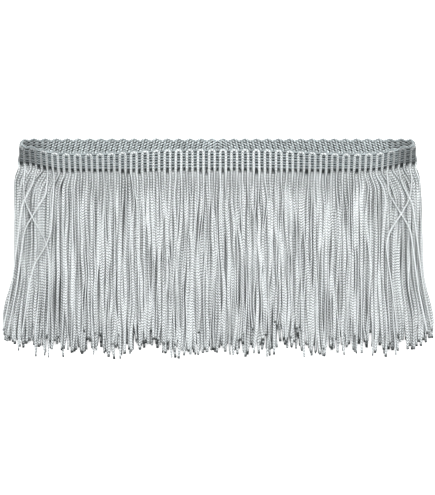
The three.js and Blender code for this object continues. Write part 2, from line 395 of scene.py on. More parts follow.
class Root(NamedTuple):
    """How strands leave the tape."""

    out: float  # from the middle of its thickness
    width: float  # against a leg
    turned: float  # in turns, where a quarter is on edge and three quarters is flat
    shade: float  # painted shade where a strand leaves the tape; 0 is dark
    gleam: float


ON_FACE = Root(out=LEG_OUT, width=1.0, turned=0.25, shade=1.0, gleam=LEG_GLEAM)
ON_REVERSE = Root(out=-0.2, width=1.4, turned=0.75, shade=0.0, gleam=0.35)


class Row(NamedTuple):
    """What sets one row of a layer's strands apart."""

    root: Root
    level: float  # height of the strands' undersides
    settle: float  # how far the row sinks or rises into the others
    lift: float
    sway: float  # how far it follows the fan and the swoop
    free: float  # how far it follows its bunch
    own: float  # how far it wanders by itself
    short: float  # the share of strands that are cut well short
    short_by: tuple
    width: float  # against the cord
    taper: float  # how much narrower the tips are
    turning: float  # how far a strand turns on edge, in radians
    corners: int  # of a strand's section


HIDDEN_STRANDS = {"width": 1.3, "taper": 0.45, "turning": 0.3, "corners": 6}
FRONT_ROWS = {
    "face": Row(
        root=ON_FACE, level=4.6, settle=-0.25, lift=LIFT, sway=1.0, free=1.0, own=1.0,
        short=0.36, short_by=(3.0, 13.0), width=1.0, taper=0.28, turning=1.3, corners=8,
    ),
    "reverse": Row(
        root=ON_REVERSE, level=3.1, settle=0.95, lift=LIFT, sway=0.75, free=0.8, own=0.8,
        short=0.2, short_by=(3.0, 12.0), width=1.0, taper=0.32, turning=1.2, corners=8,
    ),
    "under": Row(
        root=ON_REVERSE, level=2.4, settle=0.5, lift=LIFT, sway=0.3, free=0.4, own=0.4,
        short=0.7, short_by=(2.0, 9.0), **HIDDEN_STRANDS,
    ),
}
BACK_FACE = Row(
    root=ON_FACE, level=0.0, settle=0.0, lift=BACK_LIFT, sway=0.0, free=0.4, own=1.0,
    short=0.15, short_by=(2.0, 8.0), **HIDDEN_STRANDS,
)
BACK_ROWS = {"face": BACK_FACE, "reverse": BACK_FACE._replace(root=ON_REVERSE, level=1.5, own=0.8)}


class Layer(NamedTuple):
    """A layer of strands, and the stretch of tape that they hang from."""

    middle_run: float
    rightwards: int  # which way a run goes there
    up: float  # which way the tape's face looks there
    edge: Callable  # the tape's lower edge, by the distance from the middle
    hem: Callable
    rows: dict
    strays: dict


FRONT = Layer(
    middle_run=0.0, rightwards=1, up=1.0, rows=FRONT_ROWS, strays=STRAYS,
    edge=lambda x: column(FRONT_SECTIONS, "y", x),
    hem=lambda x: -column(HEM, "below", x),
)
BACK = Layer(
    middle_run=HALF_RUN, rightwards=-1, up=-1.0, rows=BACK_ROWS, strays={},
    edge=lambda x: np.full_like(x, BACK_SHIFT),
    hem=lambda x: BACK_SHIFT - BACK_LENGTH + BACK_CORNER * smooth(BACK_CORNER_FROM, BACK_CORNER_TO, x),
)


def shares(rings):
    """The shares of a strand's length where its rings are."""
    return np.append(np.linspace(0, LAST_RING, rings - 1), 1.0)[None, :]


def down_wave(turns, t, count, rng):
    """A wave down each strand that makes so many turns from a start by chance."""
    return np.sin(TWO_PI * (rng.uniform(*turns, (count, 1)) * t + rng.uniform(0, 1, (count, 1))))


def sideways(x, t, row):
    """How far a strand lies outwards of its root, t being the share of its length down to there."""
    spread = SPREAD * smooth(SPREAD_FROM, SPREAD_TO, x) * smooth(0, SPREAD_DEPTH, t)
    corner = np.clip((x - FLARE_FROM) / (FLARE_TO - FLARE_FROM), 0, 1) ** 2
    flare = FLARE * corner * smooth(*FLARE_OVER, t)
    bunching = np.sin(x / BUNCH_LENGTH + row.level + BUNCH_DRIFT * t) * smooth(0, BUNCH_DEPTH, t)
    wave = WAVE * np.sin(WAVE_STEP * x + row.level) * np.sin(WAVE_TURN * t)
    swoop = bell(SWOOP, x) * smooth(*SWOOP_OVER, t)
    fan = bell(FAN, x) * smooth(*FAN_OVER, t)
    return spread + flare + (BUNCH_SHIFT * bunching + wave) * row.free + (swoop + fan) * row.sway


def gathered(x, t):
    """How far the waves that gather strands move one to the right."""
    moved = 0
    for k, g in enumerate(GATHERS):
        drifted = t + GATHER_SWING * np.sin(TWO_PI * (t + g["shift"]))
        moved = moved + g["shift"] * np.sin(TWO_PI * x / g["length"] + g["drift"] * drifted + k)
    return moved


def cut_ends(layer, row, leg, rng):
    """Where strands are cut."""
    root_x = leg * LEG_PITCH
    short = (rng.uniform(0, 1, leg.shape) < row.short) * rng.uniform(*row.short_by, leg.shape)
    ripples = sum(r["height"] * np.sin(r["step"] * leg + r["phases"] * row.level) for r in RIPPLES)
    ragged = rng.normal(0, RAGGED_ENDS, leg.shape).clip(*RAGGED_LIMITS)
    return layer.hem(root_x) + ripples + ragged + short * smooth(*SHORT_TO, root_x)


def stray_line(bends, root, side, t):
    """A strand's line from its root through these bends, rounded."""
    at = np.linspace(0, 1, len(bends["x"]) + 1)
    x = side * np.interp(t, at, [root[0]] + bends["x"])
    y = np.interp(t, at, [root[1]] + [-below for below in bends["below"]])
    line = np.stack([x, y, np.full_like(x, STRAY_LEVEL + STRAND_HEIGHT / 2)], -1)
    for _ in range(STRAY_ROUNDING):
        line[1:-1] = (line[:-2] + 2 * line[1:-1] + line[2:]) / 4
    return line


def strand_lines(layer, row, legs, rings, rng):
    """Middle lines and ups of the strands that hang from these legs of the layer."""
    count = len(legs)
    leg, side = np.abs(legs)[:, None], np.where(legs < 0, -1.0, 1.0)[:, None]
    t = shares(rings)
    root_x = leg * LEG_PITCH
    edge = layer.edge(root_x)
    depth = (edge - cut_ends(layer, row, leg, rng)) * t
    own = row.own * sum(
        rng.uniform(*w["shift"], (count, 1)) * down_wave(w["turns"], t, count, rng) for w in WANDERS
    )
    own = own * mix(1.0, CALM, smooth(*CALM_BETWEEN, root_x))
    bend = rng.normal(0, TIP_BEND, (count, 1)).clip(*TIP_BEND_LIMITS)
    held = smooth(*HELD_OVER, t)
    x = side * (root_x + sideways(root_x, t, row)) + (gathered(root_x * side, t) + own) * held
    x = x + bend * smooth(*TIP_BEND_OVER, t)
    rise = row.lift * down_wave(LIFT_TURNS, t, count, rng) + row.settle * smooth(*SETTLE_OVER, t)
    z = row.level + STRAND_HEIGHT / 2 + rise * held
    lying = np.stack(np.broadcast_arrays(x, edge - depth, z), -1)
    for i, name in enumerate(legs):
        if name in layer.strays:
            root = (root_x[i, 0], edge[i, 0])
            lying[i] = stray_line(layer.strays[name], root, side[i, 0], t[0])

    run = layer.middle_run + legs[:, None] * LEG_PITCH * layer.rightwards
    hanging = tape_point(run, -depth, np.full((count, rings), row.root.out))
    normal = tape_normal(run, -depth)
    share = smooth(*ROOT_BLEND, depth)[..., None]
    return mix(hanging, lying, share), unit(mix(normal, np.array([0, 0, layer.up]), share))


class Cord:
    """The cord's sizes in millimetres, from the settings in metres."""

    def __init__(self, settings):
        self.width = settings.cord_width / MM
        self.leg_width = settings.leg_width / MM
        self.thickness = settings.cord_thickness / MM
        self.stitch = settings.stitch_length / MM


WIDTHS = (0.9, 1.08)  # a strand's width varies between these, against the cord's
WIDENED_AT = (0.08, 0.4)  # where a strand has its full width, as a share of its length
TAPER_OVER = (0.88, 0.96)
THINNING = 0.15  # how much thinner a strand is at its cut end
THINNING_OVER = (0.965, 1.0)
TWISTS = (0.4, 1.7)  # how many turns a strand rolls to and fro in
TWIST_STARTS = (-0.12, 0.12)
ROLLED_BETWEEN = (-0.5, 0.6)  # where on that wave it starts to roll, and where it is on edge
ROLLED_OVER = (0.0, 0.05)


def strand_section(row, cord, rings, count, rng):
    """Half the width and half the thickness of strands from root to tip, and how they roll."""
    t = shares(rings)
    full = cord.width * rng.uniform(*WIDTHS, (count, 1)) * row.width
    widened = smooth(0.0, 1.0, t / rng.uniform(*WIDENED_AT, (count, 1)))
    width = mix(row.root.width * cord.leg_width, full, widened)
    width = width * (1 - row.taper * smooth(*TAPER_OVER, t))
    thickness = cord.thickness * np.ones_like(width) * (1 - THINNING * smooth(*THINNING_OVER, t))
    turns = rng.uniform(*TWISTS, (count, 1)) * t + rng.uniform(*TWIST_STARTS, (count, 1))
    way = rng.choice([-1.0, 1.0], (count, 1))
    wave = np.sin(TWO_PI * (turns + row.root.turned))
    rolled = smooth(*ROLLED_BETWEEN, wave) * smooth(*ROLLED_OVER, t)
    return width / 2, thickness / 2, way * row.turning * rolled


# How far strands carry painted shade from their cut ends and their roots: in full, and at all.
DARK_CUT = (1.2, 2.4)
DARK_ROOT = (1.3, 2.6)
DARK_ROOT_SHARES = (0.5, 1.2)  # how much of a distance from the root counts, by chance
HIDDEN = 0.85  # painted shade: how dark a strand's inner side is
SHELTERED = (14, 30)  # from the tip, where it starts to be and where it is in full
GLEAM = 0.5  # how much brighter and plainer a strand is here and there
GLEAM_TURNS = (0.6, 2.2)
GLEAM_FROM_ROOT = (1, 14)
CREASE_SHADE = 1.4  # painted shade: how dark a strand's sides are where it is pressed against its neighbours
CREASE_TURNS = (1.0, 3.0)
CREASE_FROM_ROOT = (0, 3)
CREASE_POWER = 1.2


def strand_marks(root, rings, count, rng):
    """How light strands are: painted shade at their cut ends and roots, on their inner sides and in
    creases here and there, and brighter here and there."""
    t = shares(rings)
    from_root, from_tip = BACK_LENGTH * t, BACK_LENGTH * (1 - t)
    cut = mix(rng.uniform(0, 1, (count, 1)) ** 3, 1, smooth(*DARK_CUT, from_tip))
    rooted = smooth(*DARK_ROOT, from_root * rng.uniform(*DARK_ROOT_SHARES, (count, 1)))
    gleam = GLEAM * down_wave(GLEAM_TURNS, t, count, rng) ** 3
    crease_shade = CREASE_SHADE * (0.5 + 0.5 * down_wave(CREASE_TURNS, t, count, rng)) ** CREASE_POWER
    return {
        "shade": cut * mix(root.shade, 1, rooted),
        "occlusion_shade": np.broadcast_to(HIDDEN * smooth(*SHELTERED, from_tip), (count, rings)),
        "gleam": mix(root.gleam, gleam, smooth(*GLEAM_FROM_ROOT, from_root)),
        "crease_shade": crease_shade * smooth(*CREASE_FROM_ROOT, from_root),
    }


def hang(layer, row, legs, cord, rings, rng):
    """Strands from root to tip, with all that a batch needs but their tone."""
    points, ups = strand_lines(layer, row, legs, rings, rng)
    half_width, half_height, roll = strand_section(row, cord, rings, len(legs), rng)
    marks = strand_marks(row.root, rings, len(legs), rng)
    stray = np.isin(legs, list(layer.strays))[:, None]
    half_width = np.where(stray, np.minimum(half_width, STRAY_WIDTH * cord.leg_width / 2), half_width)
    marks["gleam"] = np.where(stray, STRAY_GLEAM, marks["gleam"])
    section = {"half_width": half_width, "half_height": half_height, "roll": roll}
    return {"points": points, "ups": ups, **section, **marks}


LOOP_STEPS = 3  # to each stitch


def loop_path(cord):
    """A loop of cord on the tape, as runs from the loop's middle and heights on the tape."""
    radius = LEG_PITCH / 2
    centre = TAPE_HEIGHT - cord.leg_width / 2 - radius
    step = cord.stitch / LOOP_STEPS
    leg = np.arange(step, centre, step)
    arch = np.linspace(math.pi, 0, int(math.pi * radius / step) + 1)
    runs = np.concatenate([np.full(len(leg), -radius), radius * np.cos(arch), np.full(len(leg), radius)])
    heights = np.concatenate([leg, centre + radius * np.sin(arch), leg[::-1]])
    return runs, heights


LEG_TURN_SHADE = 0.36  # painted shade: how light the cord on the tape is at the turns, where the tape stands on edge
LEG_TURN_SHADE_FROM = 20  # how far from a turn the painted shade starts
LEG_TURN_SHADE_TO = 3


def face_cords(layer, loops, cord, rings, rng):
    """Cords that run from one tip up into the tape, over in a loop and down to the next tip."""
    row = layer.rows["face"]
    legs = np.asarray(loops) * 2.0
    first, last = [hang(layer, row, legs + offset, cord, rings, rng) for offset in (-0.5, 0.5)]
    runs, heights = loop_path(cord)
    run = layer.middle_run + legs[:, None] * LEG_PITCH * layer.rightwards + runs * layer.rightwards
    height, fill = np.broadcast_to(heights, run.shape), np.ones(run.shape)
    loop = {
        "points": tape_point(run, height, fill * LEG_OUT),
        "ups": tape_normal(run, height),
        "half_width": fill * cord.leg_width / 2,
        "half_height": fill * cord.thickness / 2,
        "roll": fill * 0,
        # Painted shade on the legs of cord towards the turns.
        "shade": mix(1.0, LEG_TURN_SHADE, smooth(FRONT_RUN - LEG_TURN_SHADE_FROM, FRONT_RUN - LEG_TURN_SHADE_TO, np.abs(run))),
        "occlusion_shade": fill * 0,
        "gleam": fill * LEG_GLEAM,
        "crease_shade": fill * 0,
    }
    # The first strand is turned round, so that the cord runs on from it into the loop.
    cords = {name: np.concatenate([np.flip(first[name], 1), loop[name], last[name]], 1) for name in loop}
    tone = rng.uniform(0, 1, (len(loops), 1))
    return sweep(batch(**cords, tone=tone), row.corners, GROOVE)


def reverse_cords(layer, name, legs, cord, rings, rng):
    """Cords that hang from the back of the tape in one row."""
    row = layer.rows[name]
    strands = hang(layer, row, np.asarray(legs, float), cord, rings, rng)
    tone = rng.uniform(0, 1, (len(legs), 1))
    return sweep(batch(**strands, tone=tone), row.corners, GROOVE)


# The tape's own yarns

TAPE_END = HALF_RUN - 0.02  # where the yarns of the two cut ends meet
LEG_WAVE = TWO_PI / LEG_PITCH  # radians along the tape, one turn to each leg of cord
ALL_LEGS = 4 * CORD_LOOPS
# What ends in _STEPS is for each leg of cord.

GROUND_ROWS = 7
ROW_PITCH = 1.65
FIRST_ROW = 1.15
ROW_STEPS = 6
ROW_CORNERS = 6
ROW_RISE = 0.12  # how far a row rises and falls, once for two legs
ROW_RISE_PHASE = 2.1
ROW_OUT = (-0.1, 0.45)  # below a leg and between two legs
ROW_HALF_WIDTH = (0.85, 0.42)
ROW_HALF_HEIGHT = 0.5
ROW_TONE_LENGTH = 3.1
ROW_TONE_PHASE = 1.7
TURN_SHADES = (0.12, 0.48)  # how light each second row is where the tape stands on edge
TURN_SHADE_OVER = (9, 2)  # how far before a turn

REVERSE_SEED = 5
REVERSE_ROWS = 7
REVERSE_PITCH = 1.78
REVERSE_FIRST = 0.2
REVERSE_RINGS = 5
REVERSE_CORNERS = 5
REVERSE_SHEAR = 0.28  # how far the columns of stitches lean, along the tape for a step up
REVERSE_SEAM = 10  # how far from the cut ends they start to stand up straight
REVERSE_MARGIN = 0.3  # how far the stitches stay inside the tape's edges
REVERSE_OUT = (-0.85, -0.35)  # at a stitch's middle and at its ends
REVERSE_HALF = (0.48, 0.23)  # half its thickness there
# What follows is for a stitch away from the turns and for a level one at a turn.
LEVEL_OVER = (22, 12)  # from the middle of the turn
REVERSE_REACH = (0.72, 1.15)  # half its length along the tape
REVERSE_SLOPE = (math.tan(math.radians(41)), 0.12)
REVERSE_THICKNESS = (1.0, 0.7)
REVERSE_SHADE = (1.0, 0.5)

EDGE_STEPS = 8
EDGE_CORNERS = 6
EDGE_DROP = 1.25  # from the tape's top to the middle of the edge between two loops
EDGE_CREST = 1.3  # how far it rises over a loop
EDGE_TWIST = 1.5  # turns of its two yarns round each other, to each leg of cord
EDGE_TWIST_RISE = 0.3
EDGE_OUT = -0.35
EDGE_TWIST_OUT = 0.45
EDGE_HALF = 0.42
EDGE_SWELL = 0.12
EDGE_SWELLS = 3  # to each leg of cord
EDGE_FRONT = 0.6  # how thick it is on the front layer
EDGE_FRONT_OVER = (0, 5)  # how far before a turn

# The sheet in the middle of the tape, dark as painted shade seen between its yarns.
SHEET_STEPS = 3
SHEET_HEIGHTS = np.linspace(0.6, TAPE_HEIGHT - 1.0, 7)
SHEET_HALF = 0.22
MID_TONE = 0.5


def from_turn(run):
    """How far a run is from the middle of the nearest turn."""
    return np.abs(np.abs(run) - HALF_RUN / 2)


def tape_runs(steps):
    """Runs from one cut end of the tape to the other, with so many steps to each leg of cord."""
    return np.linspace(-TAPE_END, TAPE_END, int(2 * TAPE_END / LEG_PITCH * steps))[None, :]


def tape_yarns(corners, run, height, out, half_width, half_height, **marks):
    """Yarns on the tape, by their runs, their heights on it and how far out they are."""
    ups = tape_normal(run, height)
    yarns = batch(tape_point(run, height, out), ups, half_width, half_height, **marks)
    return sweep(yarns, corners)


def ground_rows():
    """Rows of yarn along the tape that pass under the legs of cord and swell between them."""
    run, row = tape_runs(ROW_STEPS), np.arange(GROUND_ROWS)[:, None]
    between = 0.5 + 0.5 * np.cos(LEG_WAVE * run)
    rise = ROW_RISE * np.sin(LEG_WAVE * run / 2 + row * ROW_RISE_PHASE)
    height = FIRST_ROW + ROW_PITCH * row + rise
    out, half_width = mix(*ROW_OUT, between), mix(*ROW_HALF_WIDTH, between)
    tone = 0.5 + 0.5 * np.sin(run / ROW_TONE_LENGTH + row * ROW_TONE_PHASE)
    at_turn = smooth(*TURN_SHADE_OVER, from_turn(run) - TURN_RUN / 2)
    shade = mix(1.0, mix(*TURN_SHADES, row % 2), at_turn)
    return tape_yarns(ROW_CORNERS, run, height, out, half_width, ROW_HALF_HEIGHT, tone=tone, shade=shade)


def reverse_stitches():
    """Short slanted stitches on the reverse in a brick pattern, two to each leg of cord in each row.
    Towards the turns they lie level and close together."""
    half_legs = np.arange(-ALL_LEGS, ALL_LEGS) + 0.5
    half_leg, row = (a.reshape(-1, 1) for a in np.meshgrid(half_legs, np.arange(REVERSE_ROWS)))
    middle = half_leg * LEG_PITCH / 2
    up = REVERSE_FIRST + REVERSE_PITCH * (row + 0.5 * (np.abs(half_leg) % 2 < 1))
    level = smooth(*LEVEL_OVER, from_turn(middle))
    t = np.linspace(-1, 1, REVERSE_RINGS)[None, :]
    reach = mix(*REVERSE_REACH, level)
    shear = REVERSE_SHEAR * smooth(0, REVERSE_SEAM, HALF_RUN - np.abs(middle))
    way = np.where(middle > 0, 1.0, -1.0)
    run = np.clip(middle + way * (shear * (up - MIDDLE) + reach * t), -TAPE_END, TAPE_END)
    height = up + reach * mix(*REVERSE_SLOPE, level) * t
    height = np.clip(height, REVERSE_MARGIN, TAPE_HEIGHT - REVERSE_MARGIN)
    out = mix(*REVERSE_OUT, t**2)
    half = mix(*REVERSE_HALF, t**2) * mix(*REVERSE_THICKNESS, level)
    tone = np.random.default_rng(REVERSE_SEED).uniform(0, 1, middle.shape)
    shade = mix(*REVERSE_SHADE, level)
    return tape_yarns(REVERSE_CORNERS, run, height, out, half, half, tone=tone, shade=shade)


def edge_yarns():
    """Two yarns that bind the scalloped upper edge, over the top of each loop."""
    run, strand = tape_runs(EDGE_STEPS), np.array([[0.0], [1.0]])
    crest = 0.5 - 0.5 * np.cos(LEG_WAVE * run / 2)
    twist = LEG_WAVE * run * EDGE_TWIST + math.pi * strand
    height = TAPE_HEIGHT - EDGE_DROP + EDGE_CREST * crest + EDGE_TWIST_RISE * np.sin(twist)
    out = EDGE_OUT + EDGE_TWIST_OUT * np.cos(twist)
    on_front = smooth(*EDGE_FRONT_OVER, FRONT_RUN - np.abs(run))
    swell = EDGE_SWELL * np.cos(LEG_WAVE * run * EDGE_SWELLS)
    half = (EDGE_HALF + swell) * mix(1.0, EDGE_FRONT, on_front)
    return tape_yarns(EDGE_CORNERS, run, height, out, half, half, tone=MID_TONE, shade=1.0)


def tape_shade_sheet():
    """The thin sheet that the tape's yarns are worked into, dark as the painted shade in the gaps
    between them.
    """
    run = np.linspace(-TAPE_END, TAPE_END, ALL_LEGS * SHEET_STEPS + 1)[:, None]
    height = np.concatenate([SHEET_HEIGHTS, SHEET_HEIGHTS[::-1]])
    out = SHEET_HALF * np.repeat([1.0, -1.0], len(SHEET_HEIGHTS))
    points = tape_point(run, height, out)
    count, corners = points.shape[:2]
    quads, caps = tube_faces(1, count, corners)
    marks = {
        "along": np.repeat(run[:, 0], corners),
        "across": np.tile(height, count),
        "occlusion_shade": np.zeros(count * corners),
        "gleam": np.zeros(count * corners),
        "tone": np.full(count * corners, MID_TONE),
        "shade": np.ones(count * corners),
    }
    # Its outline runs round the other way than a yarn's, so its faces are turned over.
    return Form(points.reshape(-1, 3), quads[:, [0, 3, 2, 1]], caps[:, ::-1], marks)


# Finishes


def both_ways(operation):
    """The methods of an operator and of its reflected form, that add a Math node for it."""

    def forward(self, other):
        return self.maths(operation, self, other)

    def reflected(self, other):
        return self.maths(operation, other, self)

    return forward, reflected


class Term:
    """A shader socket that takes part in sums."""

    def __init__(self, paint, socket):
        self.paint = paint
        self.socket = socket

    def maths(self, operation, *terms):
        """The result of a Math node on these terms."""
        return self.paint.node("ShaderNodeMath", {"operation": operation}, dict(enumerate(terms)))

    __add__, __radd__ = both_ways("ADD")
    __sub__, __rsub__ = both_ways("SUBTRACT")
    __mul__, __rmul__ = both_ways("MULTIPLY")
    __truediv__, __rtruediv__ = both_ways("DIVIDE")
    __pow__, __rpow__ = both_ways("POWER")

    def __abs__(self):
        return self.maths("ABSOLUTE", self)

    def wave(self):
        """A wave from 0 to 1, one for each whole number."""
        return self.maths("SINE", self * TWO_PI) * 0.5 + 0.5


class Paint:
    """A material, and the one way its nodes are added."""

    def __init__(self, name):
        self.material = bpy.data.materials.new(name)
        self.material.use_nodes = True
        self.tree = self.material.node_tree
        self.shader = self.tree.nodes["Principled BSDF"]

    def node(self, kind, settings=None, sockets=None, output=0):
        """Adds a node with these settings, and these values or links in its sockets."""
        node = self.tree.nodes.new(kind)
        for name, value in (settings or {}).items():
            setattr(node, name, value)
        for name, value in (sockets or {}).items():
            self.plug(node.inputs[name], value)
        return Term(self, node.outputs[output])

    def plug(self, socket, value):
        """Gives a socket this value, or links it to this term."""
        if isinstance(value, Term):
            self.tree.links.new(value.socket, socket)
        else:
            socket.default_value = value

    def mark(self, name):
        """A mark that the mesh carries."""
        return self.node("ShaderNodeAttribute", {"attribute_name": name}, output="Fac")

    def blend(self, share, a, b):
        """A colour between a and b."""
        sockets = {0: share, 6: a, 7: b}
        return self.node("ShaderNodeMix", {"data_type": "RGBA"}, sockets, output=2)

    def noise(self, scale):
        """Soft patches all over the object."""
        where = self.node("ShaderNodeTexCoord", output="Object")
        sockets = {"Vector": where, "Scale": scale, "Detail": 2.0}
        return self.node("ShaderNodeTexNoise", sockets=sockets, output="Fac")

    def finish(self, colour, height, depth, **constants):
        """The material with this colour, bumps of this height and depth, and these constants."""
        sockets = {"Strength": 1.0, "Distance": depth, "Height": height}
        bumps = self.node("ShaderNodeBump", sockets=sockets, output="Normal")
        self.plug(self.shader.inputs["Base Color"], colour)
        self.plug(self.shader.inputs["Normal"], bumps)
        for name, value in constants.items():
            self.shader.inputs[name.replace("_", " ")].default_value = value
        return self.material


def rgba(colour, share=1.0):
    """A colour, or a darker or lighter one, with its alpha."""
    return tuple(c * share for c in colour) + (1.0,)


SPECKS = 800.0  # the scale of the noise for each
PATCHES = 120.0
STITCH_SLANT = 0.7  # how far a stitch rises from the middle to the side, in stitches
STITCH_STARTS = 9.0  # how far strands are out of step, in stitches
BASE_LIGHT = 0.77
CONTRAST = 1.05  # of a stitch against the gap behind it, whose dark is painted shade
PATCH_CONTRAST = 1.2
PLAIN_POWER = 7.0  # how narrow the plain sides are
PLAIN_SMOOTH = 0.8  # how little of the contrast they show
GLEAM_SMOOTH = 0.5
PLAIN_LIGHT = 0.2
GLEAM_LIGHT = 0.15
TONE_LIGHT = 0.18
SPECK_LIGHT = 0.8
DARKEST = 0.13  # of the colour, at the bottom of a stitch, as painted shade
# The colour of the painted shadow on strands.
SHADOW_COLOUR = (0.014, 0.02, 0.02)
SHADOW_SHARE = 0.8  # how much of the painted shadow colour the inner sides and creases show


def cord_finish(name, colour, stitch_length):
    """Silky knitted cord: two columns of slanted stitches on its face and reverse, and plain sides."""
    paint = Paint(name)
    tone, gleam = paint.mark("tone"), paint.mark("gleam")
    outer_side = abs(paint.mark("across"))
    speck, patch = paint.noise(SPECKS), paint.noise(PATCHES)
    steps = paint.mark("along") / stitch_length
    stitch = (steps + outer_side * STITCH_SLANT + tone * STITCH_STARTS + patch).wave()
    plain = outer_side**PLAIN_POWER
    contrast = (patch * PATCH_CONTRAST + CONTRAST) * (1 - plain * PLAIN_SMOOTH)
    contrast = contrast * (1 - gleam * GLEAM_SMOOTH)
    light = BASE_LIGHT + (stitch - 0.5) * contrast + (tone - 0.5) * TONE_LIGHT
    light = light + plain * PLAIN_LIGHT + gleam * GLEAM_LIGHT + (speck - 0.5) * SPECK_LIGHT
    bright = paint.blend(light, rgba(colour, DARKEST), rgba(colour))
    # Painted shade: the shadow colour on inner sides and in creases, and where the shade mark is low, at
    # cut ends, at roots and on the legs at the turns.
    shadow = rgba(SHADOW_COLOUR)
    shaded = paint.blend(paint.mark("occlusion_shade") * SHADOW_SHARE, bright, shadow)
    colours = paint.blend(paint.mark("shade"), shadow, shaded)
    return paint.finish(colours, stitch, 0.1 * MM, Roughness=0.4, Specular_IOR_Level=0.5)


ROW_TWIST = 1.1  # the length of one turn of its plies
THREAD_TWIST = 0.9
PLY_SLANT = 0.5
YARN_PATCHES = 140.0
PLY_LIGHT = 0.5
YARN_TONE_LIGHT = 0.3
YARN_PATCH_LIGHT = 0.3
YARN_SHARES = (0.25, 1.25)  # of the colour, at its darkest and its lightest


def yarn_finish(name, colour, twist):
    """Duller plied yarn of the tape."""
    paint = Paint(name)
    along, across, tone = paint.mark("along"), paint.mark("across"), paint.mark("tone")
    ply = (along / twist + across * PLY_SLANT).wave()
    patch = paint.noise(YARN_PATCHES)
    light = (ply * PLY_LIGHT + tone * YARN_TONE_LIGHT + patch * YARN_PATCH_LIGHT) * paint.mark("shade")
    dark, pale = (rgba(colour, share) for share in YARN_SHARES)
    colours = paint.blend(light, dark, pale)
    return paint.finish(colours, ply, 0.12 * MM, Roughness=0.5, Sheen_Weight=0.1)


THREADS_ALONG = 0.7  # the pitch of the threads drawn on the shade sheet
THREADS_ACROSS = 0.5
SHEET_SHARES = (0.6, 1.2)


def shade_sheet_finish(name, colour):
    """The tape's dark sheet, painted shade seen only between its yarns, with a pattern of threads."""
    paint = Paint(name)
    along, across = paint.mark("along"), paint.mark("across")
    threads = (along / THREADS_ALONG).wave() * 0.5 + (across / THREADS_ACROSS).wave() * 0.5
    dark, pale = (rgba(colour, share) for share in SHEET_SHARES)
    colours = paint.blend(threads, dark, pale)
    return paint.finish(colours, threads, 0.1 * MM, Roughness=0.7)


# What a user would change


class TrimSettings(bpy.types.PropertyGroup):
    """Sizes and colours of the trim's yarns."""

    cord_width: FloatProperty(
        name="Cord width", description="Width of a strand lying flat", default=2.25 * MM, unit="LENGTH"
    )
    leg_width: FloatProperty(
        name="Leg width", description="Width of the cord on the tape", default=1.5 * MM, unit="LENGTH"
    )
    cord_thickness: FloatProperty(
        name="Cord thickness", description="Thickness of a strand lying flat",
        default=1.2 * MM, unit="LENGTH",
    )
    stitch_length: FloatProperty(
        name="Stitch length", description="Length of one knitted stitch of the cord",
        default=1.68 * MM, unit="LENGTH",
    )
    front_rings: IntProperty(
        name="Front steps", description="Rings along a strand of the front layer", default=96
    )
    back_rings: IntProperty(
        name="Back steps", description="Rings along a strand of the back layer", default=60
    )
    cord_colour: FloatVectorProperty(
        name="Cord colour", description="Colour of the strands",
        default=(0.73, 0.765, 0.772), subtype="COLOR", size=3,
    )
    # Darker than the thread: partly the yarn's own colour, and partly painted shade where the rows lie
    # recessed between the legs.
    ground_colour: FloatVectorProperty(
        name="Ground colour", description="Colour of the tape's rows",
        default=(0.38, 0.43, 0.44), subtype="COLOR", size=3,
    )
    thread_colour: FloatVectorProperty(
        name="Thread colour", description="Colour of the stitches on the reverse",
        default=(0.79, 0.85, 0.86), subtype="COLOR", size=3,
    )
    # Painted shade: the colour of the sheet seen in the gaps between the tape's yarns.
    gap_shade_colour: FloatVectorProperty(
        name="Gap shade colour", description="Painted shade of the sheet between the rows",
        default=(0.02, 0.025, 0.026), subtype="COLOR", size=3,
    )


class StageSettings(bpy.types.PropertyGroup):
    """The floor, the lights and the camera."""

    floor_colour: FloatVectorProperty(
        name="Floor colour", description="Colour of the floor",
        default=(0.93, 0.93, 0.93), subtype="COLOR", size=3,
    )
    floor_glow: FloatProperty(name="Floor glow", description="Light given out by the floor", default=0.6)
    lens: FloatProperty(
        name="Lens", description="Focal length of the camera in millimetres", default=180.0
    )
    key_power: FloatProperty(
        name="Key light", description="Power of the key light in watts", default=12.9
    )
    side_power: FloatProperty(
        name="Side lights", description="Power of each side light in watts", default=9.2
    )
    sky: FloatProperty(name="Sky", description="Brightness of the light from all round", default=0.51)


class BuildStep(bpy.types.Operator):
    """Shared by the steps that build the trim."""

    bl_options = {"REGISTER", "UNDO"}


class FRINGE_OT_tape(BuildStep):
    """Lay the tape's dark shade sheet, its rows of yarn, the stitches of its reverse and its bound edge
    """

    bl_idname = "fringe.tape"
    bl_label = "Tape"

    def execute(self, context):
        settings = context.scene.fringe_trim
        sheet_finish = shade_sheet_finish("tape shade sheet", settings.gap_shade_colour)
        yarn = yarn_finish("tape yarn", settings.ground_colour, ROW_TWIST)
        thread = yarn_finish("tape stitches", settings.thread_colour, THREAD_TWIST)
        shade_sheet = mesh_piece("tape_shade_sheet", [tape_shade_sheet()], sheet_finish, "tape_yarn", "header_tape")
        rows = mesh_piece("tape_rows", [ground_rows()], yarn, "tape_yarn")
        stitches = mesh_piece("tape_stitches", [reverse_stitches()], thread, "tape_yarn")
        edge = mesh_piece("tape_edge", [edge_yarns()], yarn, "tape_yarn")
        flat = (2 * HALF_RUN * MM, TAPE_HEIGHT * MM)
        return {"FINISHED"}


HALF = CORD_LOOPS // 2  # loops of cord on each side of a layer's middle, with two legs each
FRONT_SIDES = {
    "left": {"seed": 11, "loops": np.arange(-HALF, 0) + 0.5, "legs": np.arange(1 - 2 * HALF, 0)},
    "right": {"seed": 12, "loops": np.arange(HALF) + 0.5, "legs": np.arange(2 * HALF)},
}
BACK_SEED = 23


